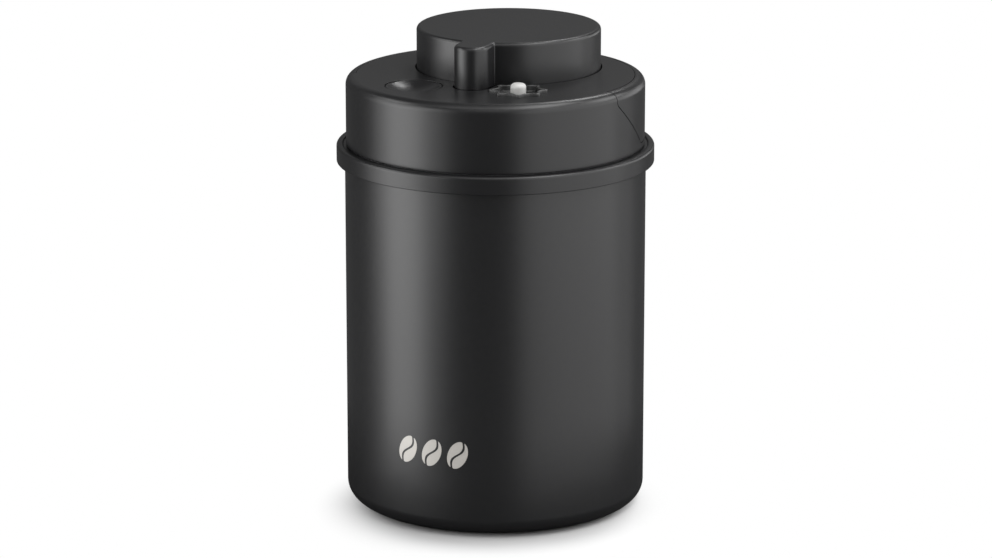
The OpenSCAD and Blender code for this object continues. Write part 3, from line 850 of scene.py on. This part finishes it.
print("rear cover's edges", round_edges(rear_cover, on_seam, 0.08 * mm))

# %% [markdown]
# ## Finishes of the pieces inside
# Springs and screws are spring steel wire and plated steel, which keep the default IOR of a metal.
# The valves and the diaphragm are translucent silicone: light goes a little way in, so they get
# subsurface scattering and stay milky. The printed mark is silver ink, matt and slightly metallic.

# %% Inner finishes
spring_steel, tree, shader = new_material(
    "drawn_spring_steel_wire", {"Metallic": 1.0, "Base Color": linear("#b9bbbd")}
)
place = add(tree, "ShaderNodeTexCoord").outputs["Object"]
draw_marks = add(tree, "ShaderNodeTexNoise", {"Vector": place, "Scale": per_mm(0.3), "Detail": 3.0})
wear = add(
    tree,
    "ShaderNodeMapRange",
    {"Value": draw_marks.outputs["Fac"], "From Min": 0.3, "From Max": 0.7, "To Min": 0.22, "To Max": 0.38},
)
tree.links.new(wear.outputs["Result"], shader.inputs["Roughness"])

clear_silicone, tree, shader = new_material(
    "milky_clear_silicone",
    {"IOR": 1.41, "Transmission Weight": 0.35, "Subsurface Weight": 0.3, "Subsurface Scale": 2 * mm},
)
place = add(tree, "ShaderNodeTexCoord").outputs["Object"]
cloud = add(tree, "ShaderNodeTexNoise", {"Vector": place, "Scale": per_mm(3), "Detail": 2.0})
milk = add(tree, "ShaderNodeValToRGB", {"Fac": cloud.outputs["Fac"]})
milk.color_ramp.elements[0].color = linear("#cfcdc6")
milk.color_ramp.elements[1].color = linear("#dedcd6")
haze = add(
    tree,
    "ShaderNodeMapRange",
    {"Value": cloud.outputs["Fac"], "From Min": 0.3, "From Max": 0.7, "To Min": 0.4, "To Max": 0.52},
)
tree.links.new(milk.outputs["Color"], shader.inputs["Base Color"])
tree.links.new(haze.outputs["Result"], shader.inputs["Roughness"])

# %% [markdown]
# ## The printed mark
# A small silver print low on the can's front: three plain coffee beans. Each half bean is a little
# grid whose points are moved by a formula, between the S-shaped groove and the bean's oval edge. The
# flat print is then wrapped on the can, because a piece of ink follows the surface under it.

# %% Printed mark
silver_ink, tree, shader = new_material("silver_screen_print_ink", {"Metallic": 0.25, "IOR": 1.5})
place = add(tree, "ShaderNodeTexCoord").outputs["Object"]
mottle = add(tree, "ShaderNodeTexNoise", {"Vector": place, "Scale": per_mm(0.4), "Detail": 2.0})
silver = add(tree, "ShaderNodeValToRGB", {"Fac": mottle.outputs["Fac"]})
silver.color_ramp.elements[0].color = linear("#a8a5a0")
silver.color_ramp.elements[1].color = linear("#b2afaa")
sheen = add(
    tree,
    "ShaderNodeMapRange",
    {"Value": mottle.outputs["Fac"], "From Min": 0.3, "From Max": 0.7, "To Min": 0.3, "To Max": 0.42},
)
tree.links.new(silver.outputs["Color"], shader.inputs["Base Color"])
tree.links.new(sheen.outputs["Result"], shader.inputs["Roughness"])

mark_angle = math.radians(-4.7)
mark_height = 33.1 * mm
bean_width = 7.6 * mm
bean_height = 11.4 * mm
bean_tilt = math.radians(-24)
bean_pitch = 10.6 * mm
groove_half = 0.45 * mm
groove_swing = 0.16
ink = 0.05 * mm


def half_bean(side, middle):
    """One half of a bean, left or right of its groove, wrapped on the can."""
    deselect_all()
    bpy.ops.mesh.primitive_grid_add(x_subdivisions=6, y_subdivisions=28, size=2)
    half = bpy.context.object
    for vertex in half.data.vertices:
        across, along = (vertex.co.x + 1) / 2, 0.97 * vertex.co.y
        groove_at = groove_swing * bean_width * math.sin(math.pi * along) + side * groove_half
        edge_at = side * bean_width / 2 * math.sqrt(1 - along**2)
        x = groove_at + (edge_at - groove_at) * across
        y = bean_height / 2 * along
        u = middle + x * math.cos(bean_tilt) - y * math.sin(bean_tilt)
        v = x * math.sin(bean_tilt) + y * math.cos(bean_tilt)
        turn = mark_angle + u / can_radius
        vertex.co = Vector(
            (can_radius * math.sin(turn), -can_radius * math.cos(turn), mark_height + v)
        )
    return half


halves = [half_bean(side, bean_pitch * i) for i in (-1, 0, 1) for side in (-1, 1)]
deselect_all()
for half in halves:
    half.select_set(True)
bpy.context.view_layer.objects.active = halves[0]
bpy.ops.object.join()
mark = bpy.context.object
mark.name = mark.data.name = "printed_beans"
bpy.ops.object.mode_set(mode="EDIT")
bpy.ops.mesh.select_all(action="SELECT")
bpy.ops.mesh.normals_make_consistent(inside=False)
bpy.ops.object.mode_set(mode="OBJECT")
outward = mark.data.polygons[0].normal.dot(mark.data.polygons[0].center * Vector((1, 1, 0))) > 0
bpy.ops.object.modifier_add(type="SOLIDIFY")
mark.modifiers[-1].thickness = ink
mark.modifiers[-1].offset = 1
bpy.ops.object.modifier_apply(modifier=mark.modifiers[-1].name)
mark.data.materials.append(silver_ink)
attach(mark, "canister")
print("mark faces", len(mark.data.polygons), "outward", outward)

# %% [markdown]
# ## The pieces inside
# The pump's inner pieces already have their real shape in the frame. Each one is copied, its loose
# triangles are merged and joined into clean faces, and a small bevel breaks every edge, as a mould
# or a press does. The three springs are only cleaned. The diaphragm is a membrane with a fold round
# its middle, made here of three turned parts: rim, fold and middle.

# %% Inner pieces
behaviour = frame["record"]["behaviour"]
body_of = {node: body for body, members in behaviour["bodies"].items() for node in members}
slot_of = {row["node"]: row["material_slot"] for row in frame["record"]["subparts"]}
springs = {
    row["node"]: (joint["name"], joint["range_m"][1], row["fixed_end_z_m"])
    for joint in behaviour["joints"]
    for row in joint.get("deforming_nodes", [])
    if row["node"] != "indicator_diaphragm"
}
stands_for = {
    "canister_body": can,
    "collar_ring": collar,
    "base_pad": pad,
    "lid_gasket": gasket,
    "lid_cover": shell,
    "lid_rear_cover": rear_cover,
    "pump_knob": knob,
    "release_button": button,
    "indicator_boot": boot,
    "indicator_pin": pin,
}


def merged_copy(node):
    activate(nodes[node])
    bpy.ops.object.duplicate()
    piece = bpy.context.object
    piece.parent = None
    piece.name = piece.data.name = node + "_finished"
    bpy.ops.object.mode_set(mode="EDIT")
    bpy.ops.mesh.select_all(action="SELECT")
    bpy.ops.mesh.remove_doubles(threshold=merge_reach / 2)
    bpy.ops.mesh.dissolve_limited(angle_limit=math.radians(0.5))
    bpy.ops.object.mode_set(mode="OBJECT")
    return piece


broken_edge = 0.12 * mm
for node in slot_of:
    if node in springs:
        stands_for[node] = merged_copy(node)
    elif node not in stands_for and node != "indicator_diaphragm":
        piece = merged_copy(node)
        bpy.ops.object.modifier_add(type="BEVEL")
        step = piece.modifiers[-1]
        step.width = broken_edge
        step.segments = 2
        step.limit_method = "ANGLE"
        step.angle_limit = math.radians(50)
        bpy.ops.object.modifier_apply(modifier=step.name)
        stands_for[node] = piece
print("pieces", len(stands_for), "springs", sorted(springs))

membrane_low, membrane_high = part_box("indicator_diaphragm")
skin = 0.75 * mm
fold_skin = 0.7 * mm
rim_radius = membrane_high.x - pin_centre[0]
fold_outer = 6.8 * mm
fold_inner = 3.8 * mm
middle_low = membrane_high.z - skin
rim_low = middle_low - 0.15 * mm
fold_level = membrane_low.z + fold_skin / 2
membrane_rim = turned(
    "membrane_rim",
    [
        (fold_outer - fold_skin, fold_level),
        (fold_outer, fold_level),
        (fold_outer, rim_low),
        (rim_radius, rim_low),
        (rim_radius, rim_low + skin),
        (fold_outer - fold_skin, rim_low + skin),
    ],
    centre=pin_centre,
    steps=96,
)
membrane_fold = turned(
    "membrane_fold",
    [
        (fold_inner, membrane_low.z),
        (fold_outer, membrane_low.z),
        (fold_outer, membrane_low.z + fold_skin),
        (fold_inner, membrane_low.z + fold_skin),
    ],
    [(0, 0.3 * mm), (1, 0.3 * mm)],
    pin_centre,
    steps=96,
)
membrane_middle = turned(
    "membrane_middle",
    [
        (0, middle_low),
        (fold_inner, middle_low),
        (fold_inner, fold_level),
        (fold_inner + fold_skin, fold_level),
        (fold_inner + fold_skin, membrane_high.z),
        (0, membrane_high.z),
    ],
    centre=pin_centre,
    steps=96,
)
print("membrane", sum(len(part.data.polygons) for part in (membrane_rim, membrane_fold, membrane_middle)))

# %% [markdown]
# ## Dressing the model
# Every piece rides on the body of the node that it stands for, and takes the finish of that node's
# slot in the record. The membrane's three parts take the diaphragm's finish and stay where they are.

# %% Ride, replace and finish
finishes = {
    "painted_steel": powder_coat,
    "black_plastic": black_abs,
    "grey_plastic": grey_pp,
    "black_silicone": black_silicone,
    "clear_silicone": clear_silicone,
    "spring_steel": spring_steel,
    "white_plastic": white_acetal,
}
for node, piece in stands_for.items():
    smooth(piece)
    piece.data.materials.clear()
    piece.data.materials.append(finishes[slot_of[node]])
    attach(piece, body_of[node])
    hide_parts(node)
for node, (joint, travel, seat) in springs.items():
    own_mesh(stands_for[node])
far = 1.0
membrane_slot = slot_of["indicator_diaphragm"]
for piece, first, last, start, end in (
    (membrane_rim, "lid", "indicator", (0, 0, rim_low), (0, 0, 2 * fold_level - rim_low)),
    (membrane_fold, "lid", "indicator", (-far, 0, 0), (far, 0, 0)),
    (membrane_middle, "indicator", "lid", (0, 0, middle_low), (0, 0, 2 * fold_level - middle_low)),
):
    smooth(piece)
    piece.data.materials.clear()
    piece.data.materials.append(finishes[membrane_slot])
    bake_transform(piece)
    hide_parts("indicator_diaphragm")
print("dressed", len(stands_for), "pieces and the membrane")

# %% [markdown]
# ## Floor, surroundings and lamps
# The photograph stands on seamless white. Here the camera sees a white world, and only a small round
# of real white floor, just as wide as the soft shadow, fades into it. The black sides mirror a dark
# studio with a few soft boxes, and these draw the long highlights that show the can is round. Black
# products are lit this way: what they mirror is what one sees.
# The soft shadow is partly real and partly painted: the paper's colour is painted darker towards the can.
# Reflections see a painted dark grey floor in place of the white paper.

# %% Floor
floor_radius = 0.15
deselect_all()
bpy.ops.mesh.primitive_circle_add(vertices=96, radius=floor_radius, fill_type="NGON", location=(0, 0, 0))
floor = bpy.context.object
floor.name = "floor"
paper, tree, shader = new_material("white_paper_sweep", {"Roughness": 0.9})
place = add(tree, "ShaderNodeTexCoord").outputs["Object"]
shadow_middle = 18 * mm
shadow_width = 73 * mm
shadow_depth = 76 * mm
toward_camera = add(
    tree,
    "ShaderNodeMapping",
    {"Vector": place,
     "Location": (shadow_middle * math.sin(camera_azimuth), -shadow_middle * math.cos(camera_azimuth), 0),
     "Rotation": (0, 0, camera_azimuth), "Scale": (shadow_width, shadow_depth, 1)},
    vector_type="TEXTURE",
)
from_middle = add(tree, "ShaderNodeVectorMath", {0: toward_camera.outputs["Vector"]}, operation="LENGTH")
fade = add(
    tree,
    "ShaderNodeMapRange",
    {"Value": from_middle.outputs["Value"], "From Min": 0.6, "From Max": 1.0},
    interpolation_type="SMOOTHSTEP",
)
# Painted shadow: the paper's colour is painted darker towards the can, 0.4 at the base rising to 0.78 farther
# out, on top of the real shadow that the lamps cast.
painted_shadow = add(
    tree,
    "ShaderNodeMapRange",
    {"Value": from_middle.outputs["Value"], "From Min": 0.5, "From Max": 0.92, "To Min": 0.4, "To Max": 0.78},
    interpolation_type="SMOOTHSTEP",
)
tree.links.new(painted_shadow.outputs["Result"], shader.inputs["Base Color"])
white = add(tree, "ShaderNodeEmission", {"Color": (1, 1, 1, 1), "Strength": 1.0})
rays = add(tree, "ShaderNodeLightPath")
seen_white = add(
    tree, "ShaderNodeMath", {0: fade.outputs["Result"], 1: rays.outputs["Is Camera Ray"]}, operation="MULTIPLY"
)
# Painted reflection: glossy rays see the floor as a dark grey in place of the white paper, so the black sides
# mirror a darker floor than the one that is there.
painted_dark_floor_in_reflections = add(tree, "ShaderNodeBsdfDiffuse", {"Color": linear("#3c3c3c")})
by_ray = add(
    tree,
    "ShaderNodeMixShader",
    {0: rays.outputs["Is Glossy Ray"], 1: shader.outputs["BSDF"], 2: painted_dark_floor_in_reflections.outputs["BSDF"]},
)
sweep = add(
    tree,
    "ShaderNodeMixShader",
    {0: seen_white.outputs["Value"], 1: by_ray.outputs["Shader"], 2: white.outputs["Emission"]},
)
tree.links.new(sweep.outputs["Shader"], tree.nodes["Material Output"].inputs["Surface"])
floor.data.materials.append(paper)

# %% World
world = bpy.data.worlds.new("studio")
bpy.context.scene.world = world
world.use_nodes = True
tree = world.node_tree
backdrop = tree.nodes["Background"]
backdrop.inputs["Color"].default_value = (1, 1, 1, 1)
backdrop.inputs["Strength"].default_value = 1.0
studio_glow = 0.1
dim = add(tree, "ShaderNodeBackground", {"Color": (1, 1, 1, 1), "Strength": studio_glow})
rays = add(tree, "ShaderNodeLightPath")
seen = add(
    tree,
    "ShaderNodeMath",
    {0: rays.outputs["Is Camera Ray"], 1: rays.outputs["Is Transmission Ray"]},
    operation="MAXIMUM",
)
sky = add(
    tree,
    "ShaderNodeMixShader",
    {0: seen.outputs["Value"], 1: dim.outputs["Background"], 2: backdrop.outputs["Background"]},
)
tree.links.new(sky.outputs["Shader"], tree.nodes["World Output"].inputs["Surface"])

# %% Lamps
studio_radius = 1.6
ceiling = 1.9


def hang_lamp(name, place, turn, width, height, glow):
    """A soft box that the camera doesn't see. Its glow is how bright its face is; 1 is white."""
    bpy.ops.object.light_add(type="AREA", location=place, rotation=turn)
    lamp = bpy.context.object
    lamp.name = lamp.data.name = name
    lamp.data.shape = "RECTANGLE"
    lamp.data.size = width
    lamp.data.size_y = height
    lamp.data.energy = glow * math.pi * width * height
    lamp.visible_camera = False


def standing_box(name, from_camera, reach, low, high, glow):
    """Stands round the canister, some degrees right of the camera, and reaches that far to each side."""
    turn = camera_azimuth + math.radians(from_camera)
    place = (studio_radius * math.sin(turn), -studio_radius * math.cos(turn), (low + high) / 2)
    width = 2 * studio_radius * math.tan(math.radians(reach))
    hang_lamp(name, place, (math.pi / 2, 0, turn), width, high - low, glow)


def hanging_box(name, right, near, width, depth, glow):
    """Hangs over the canister, so far right of it and so far towards the camera."""
    x = right * math.cos(camera_azimuth) + near * math.sin(camera_azimuth)
    y = right * math.sin(camera_azimuth) - near * math.cos(camera_azimuth)
    hang_lamp(name, (x, y, ceiling), (0, 0, camera_azimuth), width, depth, glow)


for box in (
    ("left_main", -73, 16, -0.33, 0.45, 3.1),
    ("left_deep", -72, 18, -0.8, -0.33, 2.3),
    ("left_wide", -70, 33, -0.35, 0.95, 2.1),
    ("left_high", -75, 28, 0.45, 1.1, 1.2),
    ("left_edge", -95, 16, 1.1, 1.7, 5.0),
    ("right_broad", 60, 42, -0.35, 0.95, 2.0),
    ("right_deep", 60, 42, -0.75, -0.35, 0.8),
    ("right_high", 65, 40, 0.95, 1.7, 2.1),
    ("right_rim", 112, 15, -0.75, 0.45, 0.5),
    ("right_back", 125, 22, 0, 0.6, 1.5),
    ("right_edge", 108, 16, 0.8, 1.7, 4.0),
    ("front_high", 0, 25, 0.95, 1.7, 1.1),
    ("behind", 180, 30, 0.6, 1.5, 0.15),
    ("dish_glare", 160, 10, 1.5, 2.2, 10),
):
    standing_box(*box)
for box in (
    ("top_right", 0.8, 0.4, 0.8, 1.6, 6.5),
    ("top_near", -0.4, 0.8, 1.6, 0.8, 1.6),
    ("top_middle", -0.1, 0, 1.2, 0.8, 0.4),
):
    hanging_box(*box)
